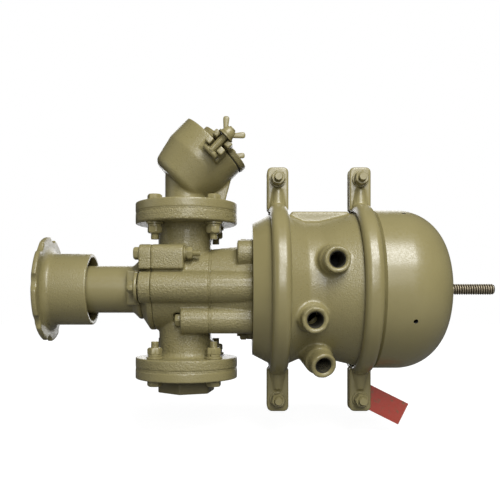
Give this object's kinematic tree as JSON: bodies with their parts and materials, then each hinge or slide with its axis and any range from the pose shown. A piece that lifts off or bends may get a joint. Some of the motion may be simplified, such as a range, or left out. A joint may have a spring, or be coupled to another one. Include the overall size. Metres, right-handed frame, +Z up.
{
  "type": "pneumatic sandblast metering valve",
  "caption": "Spring-to-close pneumatic metering valve for abrasive: flanged body, sloping inlet head with handhole, metering handwheel and clamped twin diaphragm actuator",
  "frame": {"origin": "where the plunger axis crosses the vertical abrasive passage", "axes": "+X along the plunger from the metering handwheel to the release bolt, +Y away from the side with the air ports, +Z up towards the inlet head"},
  "size_m": [0.471, 0.174, 0.3143],
  "materials": {
    "olive_paint": "satin khaki paint over castings and fasteners",
    "black_rubber": "matte",
    "bare_steel": "bare, lightly tarnished",
    "bronze": "turned",
    "red_tag": "glossy red"
  },
  "bodies": {
    "valve": {"valve_body": "olive_paint", "body_adapter": "olive_paint", "adapter_bolts": "olive_paint", "outlet_flange": "olive_paint", "outlet_bolts": "olive_paint", "outlet_nuts": "olive_paint", "inlet_bolts": "olive_paint", "inlet_nuts": "olive_paint", "inlet_head": "olive_paint", "handhole_cover": "olive_paint", "bonnet": "olive_paint", "end_ring": "olive_paint", "bonnet_screws": "olive_paint", "ring_bolts": "olive_paint", "ring_nuts": "olive_paint", "service_housing": "olive_paint", "centre_housing": "olive_paint", "spring_housing": "olive_paint", "front_clamp_near": "olive_paint", "front_clamp_far": "olive_paint", "rear_clamp_near": "olive_paint", "rear_clamp_far": "olive_paint", "clamp_bolts": "olive_paint", "clamp_nuts": "olive_paint", "chamber_studs": "olive_paint", "chamber_nuts": "olive_paint", "parting_gasket": "black_rubber", "outlet_gasket": "black_rubber", "inlet_gasket": "black_rubber", "handhole_gasket": "black_rubber", "bonnet_gasket": "black_rubber", "stem_seal": "black_rubber", "service_diaphragm": "black_rubber", "emergency_diaphragm": "black_rubber", "power_spring": "bare_steel", "return_spring": "bare_steel", "stem_bush": "bronze", "rod_bush": "bronze", "centre_bush": "bronze", "tag_plate": "red_tag"},
    "sleeve": {"metering_sleeve": "bare_steel", "sleeve_carrier": "bare_steel"},
    "wheel": {"handwheel": "olive_paint", "handwheel_nut": "olive_paint", "metering_stem": "bare_steel"},
    "plunger": {"shutoff_plunger": "bare_steel", "push_rod": "bare_steel", "push_plate": "bare_steel"},
    "piston": {"spring_piston": "bare_steel", "parking_rod": "bare_steel"},
    "release": {"release_bolt": "bare_steel"},
    "near_swing": {"near_swing_bolt": "olive_paint"},
    "near_washer": {"near_wing_washer": "olive_paint"},
    "near_nut": {"near_wing_nut": "olive_paint"},
    "far_swing": {"far_swing_bolt": "olive_paint"},
    "far_washer": {"far_wing_washer": "olive_paint"},
    "far_nut": {"far_wing_nut": "olive_paint"}
  },
  "joints": [
    {"name": "handwheel_turn", "type": "hinge", "parent": "sleeve", "child": "wheel", "pos_m": [-0.14, 0, 0], "axis": [1, 0, 0], "range_deg": [0, 1440]},
    {"name": "metering_travel", "type": "slide", "parent": "valve", "child": "sleeve", "axis": [1, 0, 0], "range_m": [0, 0.01201]},
    {"name": "parking_travel", "type": "slide", "parent": "valve", "child": "piston", "axis": [1, 0, 0], "range_m": [0, 0.042], "stiffness_N_per_m": 6000, "springref_m": -0.02, "deforming": ["power_spring", "emergency_diaphragm"]},
    {"name": "shutoff_travel", "type": "slide", "parent": "valve", "child": "plunger", "axis": [1, 0, 0], "range_m": [0, 0.042], "deforming": ["return_spring", "service_diaphragm"]},
    {"name": "release_bolt_turn", "type": "hinge", "parent": "piston", "child": "release", "pos_m": [0.2, 0, 0], "axis": [1, 0, 0], "range_deg": [0, 90]},
    {"name": "near_bolt_swing", "type": "hinge", "parent": "valve", "child": "near_swing", "pos_m": [0.02668, -0.0435, 0.13254], "axis": [0.7071, 0, -0.7071], "range_deg": [0, 90]},
    {"name": "near_nut_travel", "type": "slide", "parent": "near_swing", "child": "near_washer", "axis": [0.7071, 0, 0.7071], "range_m": [0, 0.005]},
    {"name": "near_nut_turn", "type": "hinge", "parent": "near_washer", "child": "near_nut", "pos_m": [0.04214, -0.0435, 0.148], "axis": [0.7071, 0, 0.7071], "range_deg": [0, 1440]},
    {"name": "far_bolt_swing", "type": "hinge", "parent": "valve", "child": "far_swing", "pos_m": [0.02668, 0.0435, 0.13254], "axis": [-0.7071, 0, 0.7071], "range_deg": [0, 90]},
    {"name": "far_nut_travel", "type": "slide", "parent": "far_swing", "child": "far_washer", "axis": [0.7071, 0, 0.7071], "range_m": [0, 0.005]},
    {"name": "far_nut_turn", "type": "hinge", "parent": "far_washer", "child": "far_nut", "pos_m": [0.04214, 0.0435, 0.148], "axis": [0.7071, 0, 0.7071], "range_deg": [0, 1440]}
  ],
  "couplings": [
    {"joint": "metering_travel", "follows": "handwheel_turn", "m_per_rad": 0.00047746},
    {"joint": "shutoff_travel", "follows": "parking_travel", "ratio": 1},
    {"joint": "near_nut_turn", "follows": "near_nut_travel", "rad_per_m": 5026.5},
    {"joint": "far_nut_turn", "follows": "far_nut_travel", "rad_per_m": 5026.5}
  ]
}
